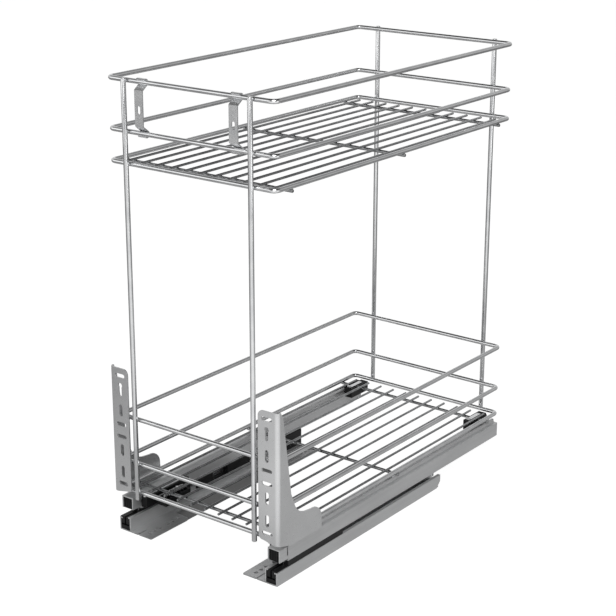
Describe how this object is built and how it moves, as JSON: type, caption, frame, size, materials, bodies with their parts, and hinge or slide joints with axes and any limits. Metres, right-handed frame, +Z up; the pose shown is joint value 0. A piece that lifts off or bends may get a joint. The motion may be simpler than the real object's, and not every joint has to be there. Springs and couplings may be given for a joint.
{
  "type": "pull-out cabinet basket",
  "caption": "Tall wire pull-out basket with an upper and a lower tray between round uprights, on a pair of full-extension floor runners with door brackets.",
  "frame": {"origin": "on the cabinet floor, at the middle of the closed basket's width and depth", "axes": "+Z up, -Y towards the cabinet door, +X to the right seen from the door"},
  "size_m": [0.254, 0.4972, 0.5602],
  "materials": {
    "frame_wire": "bright chrome plated steel wire",
    "floor_wire": "bright chrome plated thin wire",
    "bracket_sheet": "satin silver-grey coated sheet steel",
    "rail_sheet": "satin silver-grey coated sheet steel",
    "bright_zinc": "bright zinc plated steel",
    "black_plastic": "black moulded nylon"
  },
  "bodies": {
    "cabinet_side": {"left_cabinet_rail": "rail_sheet", "right_cabinet_rail": "rail_sheet", "left_front_guide": "black_plastic", "right_front_guide": "black_plastic", "left_side_guide": "black_plastic", "right_side_guide": "black_plastic", "left_rail_stop": "black_plastic", "right_rail_stop": "black_plastic"},
    "left_middle": {"left_middle_rail": "bright_zinc", "left_front_glide": "black_plastic", "left_rear_glide": "black_plastic"},
    "right_middle": {"right_middle_rail": "bright_zinc", "right_front_glide": "black_plastic", "right_rear_glide": "black_plastic"},
    "basket": {"lower_floor_rim": "frame_wire", "lower_mid_rail": "frame_wire", "lower_top_rail": "frame_wire", "upper_floor_rim": "frame_wire", "upper_mid_rail": "frame_wire", "upper_top_rail": "frame_wire", "left_front_upright": "frame_wire", "right_front_upright": "frame_wire", "left_rear_upright": "frame_wire", "right_rear_upright": "frame_wire", "lower_cross_wires": "floor_wire", "lower_floor_wires": "floor_wire", "upper_cross_wires": "floor_wire", "upper_floor_wires": "floor_wire", "left_top_clip": "bright_zinc", "right_top_clip": "bright_zinc", "left_front_bracket": "bracket_sheet", "right_front_bracket": "bracket_sheet", "bracket_rivets": "bright_zinc", "carriage_rivets": "bright_zinc", "left_carriage_rail": "rail_sheet", "right_carriage_rail": "rail_sheet", "left_end_cap": "rail_sheet", "right_end_cap": "rail_sheet", "left_carriage_guide": "black_plastic", "right_carriage_guide": "black_plastic", "left_catch_housing": "black_plastic", "right_catch_housing": "black_plastic", "left_catch_spring": "bright_zinc", "right_catch_spring": "bright_zinc", "left_rear_clip": "black_plastic", "right_rear_clip": "black_plastic", "left_clip_spring": "bright_zinc", "right_clip_spring": "bright_zinc"}
  },
  "joints": [
    {"name": "basket_slide", "type": "slide", "parent": "cabinet_side", "child": "basket", "axis": [0, -1, 0], "range_m": [0, 0.45]},
    {"name": "left_middle_slide", "type": "slide", "parent": "cabinet_side", "child": "left_middle", "axis": [0, -1, 0], "range_m": [0, 0.225]},
    {"name": "right_middle_slide", "type": "slide", "parent": "cabinet_side", "child": "right_middle", "axis": [0, -1, 0], "range_m": [0, 0.225]}
  ],
  "couplings": [
    {"joint": "left_middle_slide", "follows": "basket_slide", "ratio": 0.5},
    {"joint": "right_middle_slide", "follows": "basket_slide", "ratio": 0.5}
  ]
}
